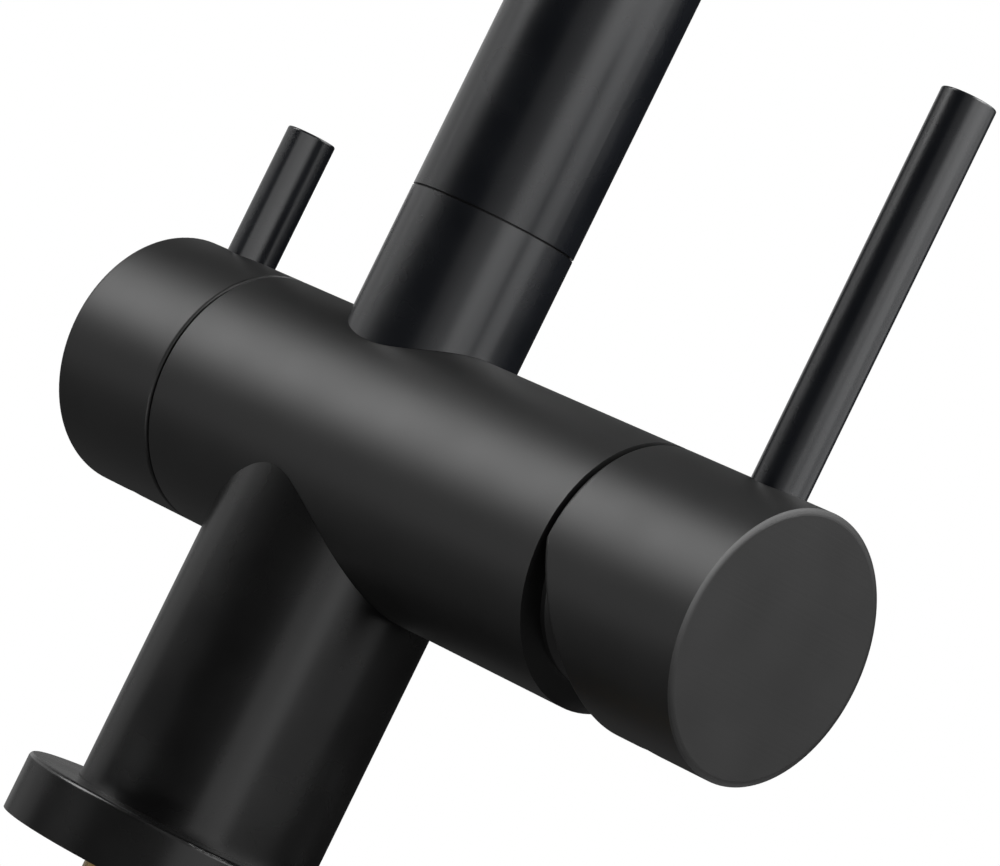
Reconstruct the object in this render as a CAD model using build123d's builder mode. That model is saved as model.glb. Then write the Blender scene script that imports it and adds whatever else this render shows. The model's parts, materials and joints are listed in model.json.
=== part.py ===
from build123d import *
import os
from math import hypot, pi

# Three way filtered water tap: a horizontal barrel on a column, a mixer lever on its right end,
# a filtered water lever on its left end and a swivelling spout on its neck.
# Millimetres. Origin: centre of the base on the counter. +Z up, +X to the mixer, -Y to the user.

os.makedirs("parts", exist_ok=True)

# ---- driving dimensions -------------------------------------------------------------------

# barrel, neck and column
axis_z = 83.0
barrel_r = 24.0
barrel_left = -34.6
barrel_right = 64.4
neck_r = 15.75
neck_top = 129.9
neck_bore_r = 12.5
neck_spigot_r = 13.9
neck_floor = 99.0
boss_r = 18.4
boss_bottom = 44.0
column_r = 22.5
column_bore_r = 18.6
left_joint_round = 0.6
edge_break = 0.4

# base and fixing under a 30 mm counter
flange_r = 32.0
flange_height = 10.8
flange_web = 4.0
shank_r = 15.0
shank_bore_r = 12.5
shank_bottom = -70.0
shank_top = 54.0
thread_pitch = 1.5
thread_depth = 0.8
plain_neck = 8.0
shank_relief = 0.3
shank_bevel = 1.0
clamp_bore_gap = 0.5
counter = 30.0
gasket_thickness = 2.0
washer_thickness = 2.5
nut_gap = 3.5
nut_height = 9.0
clamp_r = 27.0
clamp_screw_r = 2.5
clamp_screw_circle = 21.0
clamp_screw_count = 3

# inlet ports and waterways
port_r = 4.6
port_depth = 8.0
port_circle = 7.0
inlet_drill_r = 3.5
filter_drill_r = 3.0
mixer_drill_r = 2.8
mixer_port_y = 6.5
mixer_port_h = 4.0
mixed_port_h = -7.0
mixed_riser_x = 9.0
mixed_riser_r = 2.4
filtered_port_h = 8.1
filtered_drill_r = 2.0
socket_floor = 91.0

# mixer cartridge, distances along the barrel axis
chamber_floor = 40.0
chamber_r = 17.6
mouth_r = 19.0
mouth_start = 57.5
base_start = 40.3
disc_start = 44.0
slide_face = 47.5
driver_start = 51.0
driver_end = 53.6
carrier_start = 53.7
carrier_step = 57.9
case_ledge = 60.0
case_end = 62.0
carrier_end = 67.0
pivot_x = 62.5
ball_x = 53.2
ball_r = 2.1
ball_gap = 0.1
disc_r = 10.8
disc_offset = -2.0
stem_side = 8.0

# mixer handle
handle_rear = 65.2
handle_end = 99.6
handle_bore_r = 21.0
mixer_lever_x = 85.5
mixer_lever_r = 5.0
mixer_lever_top = 95.8
tilt_slope = 0.5
handle_rear_round = 0.9
handle_bevel_depth = 0.35
handle_bevel_width = 0.75
handle_bevel_round = 2.0

# filtered water valve and handle
filter_floor = -14.0
filter_chamber_r = 10.5
filter_rim = -35.0
filter_end = -61.5
filter_lever_x = -51.4
filter_lever_r = 4.75
filter_lever_top = 49.4
filter_round = 1.2

# spout
seam_top = 130.3
spout_inner_r = 14.0
spout_arc_z = 254.0
spout_arc_r = 95.0
spout_foot = 226.0
outlet_y = -2 * spout_arc_r
outlet_bottom = 218.0
tube_r = 4.0
tube_bore_r = 3.0

# clearances in radius
thread_gap = 0.05
turning_gap = 0.08
seal_gap = 0.1
rim_tolerance = 0.01

# ---- planes, axes and shared operations ---------------------------------------------------

barrel_plane = Plane(origin=(0, 0, axis_z), x_dir=(1, 0, 0), z_dir=(0, -1, 0))
barrel_axis = Axis((0, 0, axis_z), (1, 0, 0))
column_plane = Plane.XZ
column_axis = Axis.Z
outlet_plane = Plane(origin=(0, outlet_y, 0), x_dir=(1, 0, 0), z_dir=(0, -1, 0))
outlet_axis = Axis((0, outlet_y, 0), (0, 0, 1))


# Revolves an outline. About the barrel its points are (distance along the barrel, radius);
# about the column and the outlet they are (radius, height).
def turn(outline, plane, axis, mode=Mode.ADD):
    with BuildSketch(plane) as section:
        with BuildLine():
            Polyline(*outline, close=True)
        make_face()
    revolve(section.sketch, axis=axis, mode=mode)


# A round bar between two points, or a drilled hole with drill.
def bar(start, end, radius, mode=Mode.ADD):
    run = Vector(*end) - Vector(*start)
    with BuildSketch(Plane(origin=start, z_dir=run)) as section:
        Circle(radius)
    extrude(section.sketch, amount=run.length, mode=mode)


def drill(start, end, radius):
    bar(start, end, radius, mode=Mode.SUBTRACT)


# True for a rim on the barrel's outer surface, which a lengthwise seam isn't.
def on_barrel(edge):
    start = edge.start_point()
    off_axis = hypot(start.Y, start.Z - axis_z)
    return edge.geom_type != GeomType.LINE and off_axis > barrel_r - rim_tolerance


# ---- fixed body: casting, column and base -------------------------------------------------

mixer_ports = [
    ("hot", mixer_port_y, axis_z + mixer_port_h),
    ("cold", -mixer_port_y, axis_z + mixer_port_h),
    ("mixed", 0, axis_z + mixed_port_h),
]
hot_x = port_circle / 2
hot_y = port_circle * 0.866
peg_y = 12.0
peg_h = -4.0
peg_r = 1.2
peg_length = 1.8
retaining_z = 122.0
retaining_r = 2.0

with BuildPart() as valve_body:
    turn(
        [(barrel_left, 0), (barrel_left, barrel_r), (barrel_right, barrel_r), (barrel_right, 0)],
        barrel_plane,
        barrel_axis,
    )
    fillet(valve_body.edges().filter_by(GeomType.CIRCLE).sort_by(Axis.X)[0], left_joint_round)
    bar((0, 0, boss_bottom), (0, 0, axis_z), boss_r)
    # seat of the spout neck, shank socket and the socket of the filtered water tube
    drill((0, 0, neck_floor), (0, 0, axis_z + barrel_r), neck_spigot_r + thread_gap)
    drill((0, 0, boss_bottom), (0, 0, shank_top), shank_r + thread_gap)
    drill((0, 0, socket_floor), (0, 0, neck_floor), port_r)
    # hot and cold: inlet port, riser and crossing to the cartridge
    for side in (1, -1):
        port = (hot_x, side * hot_y)
        drill((*port, shank_top), (*port, shank_top + port_depth), port_r)
        drill((*port, shank_top), (*port, axis_z + mixer_port_h + 1), inlet_drill_r)
        crossing = (side * mixer_port_y, axis_z + mixer_port_h)
        drill((hot_x, *crossing), (chamber_floor, *crossing), mixer_drill_r)
    # mixed water: back from the cartridge and up into the neck
    mixed_z = axis_z + mixed_port_h
    drill((mixed_riser_x, 0, mixed_z), (chamber_floor, 0, mixed_z), mixer_drill_r)
    drill((mixed_riser_x, 0, mixed_z), (mixed_riser_x, 0, neck_floor), mixed_riser_r)
    # filtered water: inlet port, riser to the left valve, and back to the central socket
    drill((-port_circle, 0, shank_top), (-port_circle, 0, shank_top + port_depth), port_r)
    drill((-port_circle, 0, shank_top), (-port_circle, 0, axis_z), filter_drill_r)
    drill((-port_circle, 0, axis_z), (filter_floor, 0, axis_z), filter_drill_r)
    filtered_z = axis_z + filtered_port_h
    drill((0, 0, filtered_z), (filter_floor, 0, filtered_z), filtered_drill_r)
    # chambers of the cartridge and of the filtered water valve
    drill((chamber_floor, 0, axis_z), (barrel_right, 0, axis_z), chamber_r)
    drill((mouth_start, 0, axis_z), (barrel_right, 0, axis_z), mouth_r)
    drill((filter_floor, 0, axis_z), (barrel_left, 0, axis_z), filter_chamber_r)
    for side in (1, -1):
        peg = (side * peg_y, axis_z + peg_h)
        drill((chamber_floor - peg_length - seal_gap, *peg), (chamber_floor, *peg), peg_r + thread_gap)
valve_body.part.label = "valve_body"
export_step(valve_body.part, "parts/valve_body.step")

# The neck is coped to the barrel and stands on a spigot in it. The spout's retaining screw goes
# through the neck's rear.
with BuildPart() as spout_neck:
    bar((0, 0, axis_z), (0, 0, neck_top), neck_r)
    bar((-neck_r, 0, axis_z), (neck_r, 0, axis_z), barrel_r + thread_gap, mode=Mode.SUBTRACT)
    bar((0, 0, neck_floor), (0, 0, neck_top), neck_spigot_r)
    drill((0, 0, neck_floor), (0, 0, neck_top), neck_bore_r)
    drill((0, neck_r + 1, retaining_z), (0, neck_bore_r - 1, retaining_z), retaining_r + thread_gap)
spout_neck.part.label = "spout_neck"
export_step(spout_neck.part, "parts/spout_neck.step")

with BuildPart() as column_sleeve:
    with BuildSketch(Plane.XY.offset(flange_web)):
        Circle(column_r)
        Circle(column_bore_r, mode=Mode.SUBTRACT)
    extrude(amount=axis_z - flange_web)
    bar((-barrel_r, 0, axis_z), (barrel_r, 0, axis_z), barrel_r + thread_gap, mode=Mode.SUBTRACT)
column_sleeve.part.label = "column_sleeve"
export_step(column_sleeve.part, "parts/column_sleeve.step")

seal_inner_r = 24.0
seal_outer_r = 29.0
seal_thickness = 2.5
flange_hole_gap = 0.2
flange_round = 0.8

with BuildPart() as base_flange:
    with BuildSketch():
        Circle(flange_r)
        Circle(shank_r + flange_hole_gap, mode=Mode.SUBTRACT)
    extrude(amount=flange_height)
    with BuildSketch(Plane.XY.offset(flange_web)):
        Circle(column_r + seal_gap)
    extrude(amount=flange_height - flange_web, mode=Mode.SUBTRACT)
    with BuildSketch():
        Circle(seal_outer_r + seal_gap)
        Circle(seal_inner_r - seal_gap, mode=Mode.SUBTRACT)
    extrude(amount=seal_thickness, mode=Mode.SUBTRACT)
    rims = base_flange.edges().filter_by(GeomType.CIRCLE).sort_by(SortBy.RADIUS)[-2:]
    fillet(rims.sort_by(Axis.Z)[-1], flange_round)
base_flange.part.label = "base_flange"
export_step(base_flange.part, "parts/base_flange.step")

with BuildPart() as base_seal:
    with BuildSketch():
        Circle(seal_outer_r)
        Circle(seal_inner_r, mode=Mode.SUBTRACT)
    extrude(amount=seal_thickness)
base_seal.part.label = "base_seal"
export_step(base_seal.part, "parts/base_seal.step")

# The thread is cut as rings of one pitch below the plain neck that passes the counter's hole.
thread_start = -plain_neck
thread_count = int((thread_start - shank_bottom) / thread_pitch) - 1
thread_outline = [
    (shank_bore_r, shank_top),
    (shank_r, shank_top),
    (shank_r, boss_bottom),
    (shank_r - shank_relief, boss_bottom),
    (shank_r - shank_relief, 0),
    (shank_r, 0),
]
for turn_number in range(thread_count):
    crest = thread_start - turn_number * thread_pitch
    thread_outline.append((shank_r, crest))
    thread_outline.append((shank_r - thread_depth, crest - thread_pitch / 2))
thread_outline.append((shank_r, thread_start - thread_count * thread_pitch))
thread_outline.append((shank_r, shank_bottom + shank_bevel))
thread_outline.append((shank_r - shank_bevel, shank_bottom))
thread_outline.append((shank_bore_r, shank_bottom))

with BuildPart() as mounting_shank:
    turn(thread_outline, column_plane, column_axis)
mounting_shank.part.label = "mounting_shank"
export_step(mounting_shank.part, "parts/mounting_shank.step")

gasket_bottom = -counter - gasket_thickness
washer_bottom = gasket_bottom - washer_thickness
nut_top = washer_bottom - nut_gap

with BuildPart() as deck_gasket:
    with BuildSketch(Plane.XY.offset(gasket_bottom)):
        Circle(clamp_r)
        Circle(shank_r + clamp_bore_gap, mode=Mode.SUBTRACT)
    extrude(amount=gasket_thickness)
deck_gasket.part.label = "deck_gasket"
export_step(deck_gasket.part, "parts/deck_gasket.step")

with BuildPart() as clamp_washer:
    with BuildSketch(Plane.XY.offset(washer_bottom)):
        Circle(clamp_r)
        Circle(shank_r + clamp_bore_gap, mode=Mode.SUBTRACT)
    extrude(amount=washer_thickness)
clamp_washer.part.label = "clamp_washer"
export_step(clamp_washer.part, "parts/clamp_washer.step")

nut_hub_flats = 40.0
nut_flange_r = 26.0
nut_flange_height = 6.0
screw_relief_r = 4.7
clamp_screw_angle = 30.0

with BuildPart() as clamp_nut:
    with BuildSketch(Plane.XY.offset(nut_top - nut_flange_height)):
        Circle(nut_flange_r)
    extrude(amount=nut_flange_height)
    with BuildSketch(Plane.XY.offset(nut_top - nut_height)):
        RegularPolygon(nut_hub_flats / 2, 6, major_radius=False)
        with PolarLocations(clamp_screw_circle, clamp_screw_count, start_angle=clamp_screw_angle):
            Circle(screw_relief_r, mode=Mode.SUBTRACT)
    extrude(amount=nut_height - nut_flange_height)
    with BuildSketch(Plane.XY.offset(nut_top - nut_height)):
        Circle(shank_r + thread_gap)
        with PolarLocations(clamp_screw_circle, clamp_screw_count, start_angle=clamp_screw_angle):
            Circle(clamp_screw_r + thread_gap)
    extrude(amount=nut_height, mode=Mode.SUBTRACT)
clamp_nut.part.label = "clamp_nut"
export_step(clamp_nut.part, "parts/clamp_nut.step")

clamp_screw_bottom = nut_top - nut_height - 6.0
clamp_head_height = 4.0
clamp_head_flats = 8.0
driver_slot_width = 1.2
driver_slot_depth = 1.5

for number in range(clamp_screw_count):
    angle = clamp_screw_angle + 360 / clamp_screw_count * number
    with BuildPart() as clamp_screw:
        with BuildSketch(Plane.XY.offset(clamp_screw_bottom)):
            with PolarLocations(clamp_screw_circle, 1, start_angle=angle):
                Circle(clamp_screw_r)
        extrude(amount=washer_bottom - clamp_screw_bottom)
        with BuildSketch(Plane.XY.offset(clamp_screw_bottom)):
            with PolarLocations(clamp_screw_circle, 1, start_angle=angle):
                RegularPolygon(clamp_head_flats / 2, 6, major_radius=False)
        extrude(amount=clamp_head_height)
        with BuildSketch(Plane.XY.offset(clamp_screw_bottom)):
            with PolarLocations(clamp_screw_circle, 1, start_angle=angle):
                Rectangle(driver_slot_width, clamp_head_flats + 2)
        extrude(amount=driver_slot_depth, mode=Mode.SUBTRACT)
    clamp_screw.part.label = f"clamp_screw_{number + 1}"
    export_step(clamp_screw.part, f"parts/clamp_screw_{number + 1}.step")

# ---- fixed body: mixer cartridge ----------------------------------------------------------

seal_pocket_r = 4.3
seal_pocket_end = 41.5
seal_bore_r = 3.0
cartridge_r = 17.4

with BuildPart() as cartridge_base:
    bar((base_start, 0, axis_z), (disc_start, 0, axis_z), cartridge_r)
    for name, y, z in mixer_ports:
        drill((base_start, y, z), (disc_start, y, z), mixer_drill_r)
        drill((base_start, y, z), (seal_pocket_end, y, z), seal_pocket_r)
    for side in (1, -1):
        peg = (side * peg_y, axis_z + peg_h)
        bar((chamber_floor - peg_length, *peg), (disc_start, *peg), peg_r)
cartridge_base.part.label = "cartridge_base"
export_step(cartridge_base.part, "parts/cartridge_base.step")

for name, y, z in mixer_ports:
    with BuildPart() as port_seal:
        bar((chamber_floor, y, z), (seal_pocket_end, y, z), seal_pocket_r - seal_gap)
        drill((chamber_floor, y, z), (seal_pocket_end, y, z), seal_bore_r)
    port_seal.part.label = f"port_seal_{name}"
    export_step(port_seal.part, f"parts/port_seal_{name}.step")

case_r = 17.5
case_bore_r = 15.0
case_ceiling = carrier_step + seal_gap
case_neck_r = 14.3
case_mouth_r = 11.1

with BuildPart() as fixed_ceramic_disc:
    bar((disc_start, 0, axis_z), (slide_face, 0, axis_z), case_bore_r - seal_gap)
    for name, y, z in mixer_ports:
        drill((disc_start, y, z), (slide_face, y, z), mixer_drill_r)
fixed_ceramic_disc.part.label = "fixed_ceramic_disc"
export_step(fixed_ceramic_disc.part, "parts/fixed_ceramic_disc.step")

with BuildPart() as cartridge_case:
    turn(
        [
            (disc_start, case_bore_r),
            (disc_start, case_r),
            (case_ledge, case_r),
            (case_ledge, case_neck_r),
            (case_end, case_neck_r),
            (case_end, case_mouth_r),
            (case_ceiling, case_mouth_r),
            (case_ceiling, case_bore_r),
        ],
        barrel_plane,
        barrel_axis,
    )
cartridge_case.part.label = "cartridge_case"
export_step(cartridge_case.part, "parts/cartridge_case.step")

nut_notch_count = 6
notch_width = 4.0
notch_depth = 2.0
nut_outer_face = barrel_right - 0.2
nut_bore_r = case_neck_r + seal_gap

with BuildPart() as cartridge_nut:
    turn(
        [
            (case_ledge, nut_bore_r),
            (case_ledge, mouth_r - thread_gap),
            (nut_outer_face, mouth_r - thread_gap),
            (nut_outer_face, nut_bore_r),
        ],
        barrel_plane,
        barrel_axis,
    )
    # spanner notches in the outer face
    with BuildSketch(Plane(origin=(nut_outer_face, 0, axis_z), z_dir=(1, 0, 0))):
        with PolarLocations(nut_bore_r, nut_notch_count):
            Rectangle(notch_width, notch_width)
    extrude(amount=-notch_depth, mode=Mode.SUBTRACT)
cartridge_nut.part.label = "cartridge_nut"
export_step(cartridge_nut.part, "parts/cartridge_nut.step")

shroud_r = 19.5
shroud_wall = 1.5
shroud_rim = 1.0
shroud_end = 70.0
shroud_nose_r = 12.5
shroud_mouth_r = 11.5
shroud_bulge = (68.4, 16.4)
shroud_inner_bulge = (67.3, 15.3)

root = (barrel_right, shroud_r - shroud_wall)
rim = (barrel_right + shroud_rim, shroud_r)
nose = (shroud_end, shroud_nose_r)
lip = (shroud_end - shroud_wall, shroud_mouth_r)

with BuildPart() as cartridge_shroud:
    with BuildSketch(barrel_plane):
        with BuildLine():
            Polyline(root, (barrel_right, shroud_r), rim)
            ThreePointArc(rim, shroud_bulge, nose)
            Polyline(nose, (shroud_end, shroud_mouth_r), lip)
            ThreePointArc(lip, shroud_inner_bulge, root)
        make_face()
    revolve(axis=barrel_axis)
cartridge_shroud.part.label = "cartridge_shroud"
export_step(cartridge_shroud.part, "parts/cartridge_shroud.step")

# ---- mixer carrier: turns about the barrel axis -------------------------------------------

carrier_r = 14.9
carrier_neck_r = 11.0
pin_r = 2.0
pin_half = 10.6
pocket_floor = 57.6
pocket_half_height = 8.0
arm_slot_half_width = 2.4
arm_slot_half_height = 6.8
stem_gap = 0.15

with BuildPart() as cartridge_carrier:
    turn(
        [
            (carrier_start, 0),
            (carrier_start, carrier_r),
            (carrier_step, carrier_r),
            (carrier_step, carrier_neck_r),
            (carrier_end, carrier_neck_r),
            (carrier_end, 0),
        ],
        barrel_plane,
        barrel_axis,
    )
    # pocket that the square stem tilts in, then the narrow slot of its arm
    with BuildSketch(Plane(origin=(carrier_end, 0, axis_z), z_dir=(1, 0, 0), x_dir=(0, 1, 0))):
        Rectangle(stem_side + 2 * stem_gap, 2 * pocket_half_height)
    extrude(amount=pocket_floor - carrier_end, mode=Mode.SUBTRACT)
    with BuildSketch(Plane(origin=(carrier_start, 0, axis_z), z_dir=(1, 0, 0), x_dir=(0, 1, 0))):
        Rectangle(2 * arm_slot_half_width, 2 * arm_slot_half_height)
    extrude(amount=pocket_floor - carrier_start, mode=Mode.SUBTRACT)
    drill((pivot_x, -carrier_neck_r, axis_z), (pivot_x, carrier_neck_r, axis_z), pin_r)
cartridge_carrier.part.label = "cartridge_carrier"
export_step(cartridge_carrier.part, "parts/cartridge_carrier.step")

with BuildPart() as stem_pin:
    bar((pivot_x, -pin_half, axis_z), (pivot_x, pin_half, axis_z), pin_r)
stem_pin.part.label = "stem_pin"
export_step(stem_pin.part, "parts/stem_pin.step")

# ---- mixer disc: slides across the fixed disc with the lever's tilt ------------------------

disc_z = axis_z + disc_offset
cavity_depth = 1.8
cavity_h = -5.0
cavity_width = 14.0
cavity_height = 10.0
cavity_corner_r = 4.5

with BuildPart() as moving_ceramic_disc:
    bar((slide_face, 0, disc_z), (driver_start, 0, disc_z), disc_r)
    # mixing cavity in the sliding face, below the hot and cold ports while the tap is shut
    cavity_plane = Plane(origin=(slide_face, 0, axis_z + cavity_h), z_dir=(1, 0, 0), x_dir=(0, 1, 0))
    with BuildSketch(cavity_plane):
        RectangleRounded(cavity_width, cavity_height, cavity_corner_r)
    extrude(amount=cavity_depth, mode=Mode.SUBTRACT)
moving_ceramic_disc.part.label = "moving_ceramic_disc"
export_step(moving_ceramic_disc.part, "parts/moving_ceramic_disc.step")

with BuildPart() as disc_driver:
    bar((driver_start, 0, disc_z), (driver_end, 0, disc_z), disc_r)
    drill((driver_start, 0, axis_z), (driver_end, 0, axis_z), ball_r + ball_gap)
disc_driver.part.label = "disc_driver"
export_step(disc_driver.part, "parts/disc_driver.step")

# ---- mixer handle: tilts about the stem pin -----------------------------------------------

stem_inner_end = 59.5
stem_outer_end = 92.0
arm_r = 1.5

with BuildPart() as cartridge_stem:
    with BuildSketch(Plane(origin=(stem_inner_end, 0, axis_z), z_dir=(1, 0, 0))):
        Rectangle(stem_side, stem_side)
    extrude(amount=stem_outer_end - stem_inner_end)
    bar((stem_inner_end, 0, axis_z), (ball_x, 0, axis_z), arm_r)
    with Locations((ball_x, 0, axis_z)):
        Sphere(ball_r)
    drill((pivot_x, -stem_side, axis_z), (pivot_x, stem_side, axis_z), pin_r + thread_gap)
cartridge_stem.part.label = "cartridge_stem"
export_step(cartridge_stem.part, "parts/cartridge_stem.step")

drop = barrel_r + 1
lever_point = (mixer_lever_x, 0)
handle_web = 94.5
handle_boss_start = 77.0
handle_boss_r = 9.0
socket_end = 93.0
socket_side = stem_side + 0.1
lever_seat = 8.5
lever_stud_r = 3.0
lever_stud_tip = 4.6
set_screw_r = 2.5
set_screw_outer = -9.0
key_flats = 2.5
key_depth = 2.5
access_hole_r = 2.7
access_hole_top = 15.0
cap_inner = 21.2
cap_outer = 23.8

with BuildPart() as mixer_handle:
    turn(
        [
            (handle_rear, handle_bore_r),
            (handle_rear, barrel_r),
            (handle_end - handle_bevel_depth, barrel_r),
            (handle_end, barrel_r - handle_bevel_width),
            (handle_end, 0),
            (handle_boss_start, 0),
            (handle_boss_start, handle_boss_r),
            (handle_web, handle_boss_r),
            (handle_web, handle_bore_r),
        ],
        barrel_plane,
        barrel_axis,
    )
    # the lower half of the rear rim is cut on a slant, the room that the tilt needs
    with BuildSketch(barrel_plane):
        with BuildLine():
            Polyline(
                (handle_rear, 0),
                (handle_rear + tilt_slope * drop, -drop),
                (handle_rear - 1, -drop),
                (handle_rear - 1, 0),
                close=True,
            )
        make_face()
    extrude(amount=drop, both=True, mode=Mode.SUBTRACT)
    # both halves of the rear rim are rounded, and so is the bevel's edge on the end face
    fillet(mixer_handle.edges().filter_by(on_barrel).sort_by(Axis.X)[:-1], handle_rear_round)
    fillet(mixer_handle.edges().group_by(Axis.X)[-1], handle_bevel_round)
    # square socket of the stem, seat and thread of the lever, set screw and its access hole
    with BuildSketch(Plane(origin=(handle_boss_start, 0, axis_z), z_dir=(1, 0, 0))):
        Rectangle(socket_side, socket_side)
    extrude(amount=socket_end - handle_boss_start, mode=Mode.SUBTRACT)
    drill((*lever_point, axis_z + lever_seat), (*lever_point, axis_z + drop), mixer_lever_r + thread_gap)
    drill(
        (*lever_point, axis_z),
        (*lever_point, axis_z + lever_seat),
        lever_stud_r + thread_gap,
    )
    screw_hole_end = (*lever_point, axis_z - handle_boss_r - 1)
    drill(screw_hole_end, (*lever_point, axis_z), set_screw_r + thread_gap)
    drill((*lever_point, axis_z - drop), (*lever_point, axis_z - access_hole_top), access_hole_r)
mixer_handle.part.label = "mixer_handle"
export_step(mixer_handle.part, "parts/mixer_handle.step")

with BuildPart() as mixer_lever:
    bar(
        (*lever_point, axis_z + lever_seat),
        (*lever_point, axis_z + mixer_lever_top),
        mixer_lever_r,
    )
    fillet(mixer_lever.edges().group_by(Axis.Z)[-1], edge_break)
    bar((*lever_point, axis_z + lever_stud_tip), (*lever_point, axis_z + lever_seat), lever_stud_r)
mixer_lever.part.label = "mixer_lever"
export_step(mixer_lever.part, "parts/mixer_lever.step")

with BuildPart() as mixer_set_screw:
    bar(
        (*lever_point, axis_z + set_screw_outer),
        (*lever_point, axis_z - stem_side / 2),
        set_screw_r,
    )
    with BuildSketch(Plane(origin=(*lever_point, axis_z + set_screw_outer))):
        RegularPolygon(key_flats / 2, 6, major_radius=False)
    extrude(amount=key_depth, mode=Mode.SUBTRACT)
mixer_set_screw.part.label = "mixer_set_screw"
export_step(mixer_set_screw.part, "parts/mixer_set_screw.step")

with BuildPart() as mixer_screw_cap:
    bar(
        (*lever_point, axis_z - cap_outer),
        (*lever_point, axis_z - cap_inner),
        access_hole_r - thread_gap,
    )
mixer_screw_cap.part.label = "mixer_screw_cap"
export_step(mixer_screw_cap.part, "parts/mixer_screw_cap.step")

# ---- filtered water valve: fixed half -----------------------------------------------------

valve_inner_end = filter_floor - 1.0
valve_nose_r = 8.0
valve_bore_r = 6.6
valve_thread_start = -26.0
valve_step = -24.0
hex_end = barrel_left - 4.0
hex_flats = 24.0
gland_r = 8.5
gland_end = -43.0
spindle_r = 4.0
filter_disc_start = -15.2
filter_slide_face = -18.2
filter_disc_end = -21.2
filter_disc_r = 6.5
filter_port_circle = 3.2
filter_port_r = 1.6
filter_seal_r = 5.9
filter_seal_bore_r = 4.9
window_r = 1.3

with BuildPart() as filter_valve_body:
    turn(
        [
            (valve_inner_end, 0),
            (valve_inner_end, valve_nose_r),
            (valve_thread_start, valve_nose_r),
            (valve_thread_start, filter_chamber_r - thread_gap),
            (barrel_left, filter_chamber_r - thread_gap),
            (barrel_left, gland_r),
            (gland_end, gland_r),
            (gland_end, 0),
        ],
        barrel_plane,
        barrel_axis,
    )
    with BuildSketch(Plane(origin=(barrel_left, 0, axis_z), z_dir=(-1, 0, 0))):
        RegularPolygon(hex_flats / 2, 6, major_radius=False)
    extrude(amount=barrel_left - hex_end)
    drill((valve_inner_end, 0, axis_z), (valve_step, 0, axis_z), valve_bore_r)
    drill((valve_step, 0, axis_z), (gland_end, 0, axis_z), spindle_r + thread_gap)
    # side windows that let the filtered water out
    window_x = (filter_disc_end + valve_step) / 2
    drill((window_x, -valve_nose_r, axis_z), (window_x, valve_nose_r, axis_z), window_r)
    drill((window_x, 0, axis_z - valve_nose_r), (window_x, 0, axis_z + valve_nose_r), window_r)
filter_valve_body.part.label = "filter_valve_body"
export_step(filter_valve_body.part, "parts/filter_valve_body.step")

with BuildPart() as filter_valve_seal:
    bar((filter_floor, 0, axis_z), (filter_disc_start, 0, axis_z), filter_seal_r)
    drill((filter_floor, 0, axis_z), (filter_disc_start, 0, axis_z), filter_seal_bore_r)
filter_valve_seal.part.label = "filter_valve_seal"
export_step(filter_valve_seal.part, "parts/filter_valve_seal.step")

with BuildPart() as filter_fixed_disc:
    bar((filter_disc_start, 0, axis_z), (filter_slide_face, 0, axis_z), filter_disc_r)
    for side in (1, -1):
        z = axis_z + side * filter_port_circle
        drill((filter_disc_start, 0, z), (filter_slide_face, 0, z), filter_port_r)
filter_fixed_disc.part.label = "filter_fixed_disc"
export_step(filter_fixed_disc.part, "parts/filter_fixed_disc.step")

# ---- filtered water handle: turns about the barrel axis ------------------------------------

with BuildPart() as filter_moving_disc:
    bar((filter_slide_face, 0, axis_z), (filter_disc_end, 0, axis_z), filter_disc_r)
    for side in (1, -1):
        y = side * filter_port_circle
        drill((filter_slide_face, y, axis_z), (filter_disc_end, y, axis_z), filter_port_r)
filter_moving_disc.part.label = "filter_moving_disc"
export_step(filter_moving_disc.part, "parts/filter_moving_disc.step")

spindle_flange_end = valve_step + seal_gap
spindle_end = -54.0
adaptor_r = 6.8
filter_boss_start = -45.5
filter_boss_r = 11.0
filter_web = -56.0
filter_seat = 10.8
filter_stud_r = 2.5
filter_stud_tip = 7.1

with BuildPart() as filter_spindle:
    turn(
        [
            (filter_disc_end, 0),
            (filter_disc_end, filter_disc_r),
            (spindle_flange_end, filter_disc_r),
            (spindle_flange_end, spindle_r),
            (spindle_end, spindle_r),
            (spindle_end, 0),
        ],
        barrel_plane,
        barrel_axis,
    )
filter_spindle.part.label = "filter_spindle"
export_step(filter_spindle.part, "parts/filter_spindle.step")

with BuildPart() as filter_spline_adaptor:
    bar((filter_boss_start, 0, axis_z), (spindle_end, 0, axis_z), adaptor_r)
    drill((filter_boss_start, 0, axis_z), (spindle_end, 0, axis_z), spindle_r + thread_gap)
filter_spline_adaptor.part.label = "filter_spline_adaptor"
export_step(filter_spline_adaptor.part, "parts/filter_spline_adaptor.step")

filter_point = (filter_lever_x, 0)

with BuildPart() as filter_handle:
    turn(
        [
            (filter_rim, handle_bore_r),
            (filter_rim, barrel_r),
            (filter_end, barrel_r),
            (filter_end, 0),
            (filter_boss_start, 0),
            (filter_boss_start, filter_boss_r),
            (filter_web, filter_boss_r),
            (filter_web, handle_bore_r),
        ],
        barrel_plane,
        barrel_axis,
    )
    fillet(filter_handle.edges().filter_by(on_barrel).sort_by(Axis.X)[0], filter_round)
    fillet(filter_handle.edges().filter_by(on_barrel).sort_by(Axis.X)[-1], left_joint_round)
    drill((filter_boss_start, 0, axis_z), (spindle_end, 0, axis_z), adaptor_r + thread_gap)
    drill((*filter_point, axis_z + filter_seat), (*filter_point, axis_z + drop), filter_lever_r + thread_gap)
    drill((*filter_point, axis_z), (*filter_point, axis_z + filter_seat), filter_stud_r + thread_gap)
    drill((*filter_point, axis_z - filter_boss_r - 1), (*filter_point, axis_z), set_screw_r + thread_gap)
    drill((*filter_point, axis_z - drop), (*filter_point, axis_z - access_hole_top), access_hole_r)
filter_handle.part.label = "filter_handle"
export_step(filter_handle.part, "parts/filter_handle.step")

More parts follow.
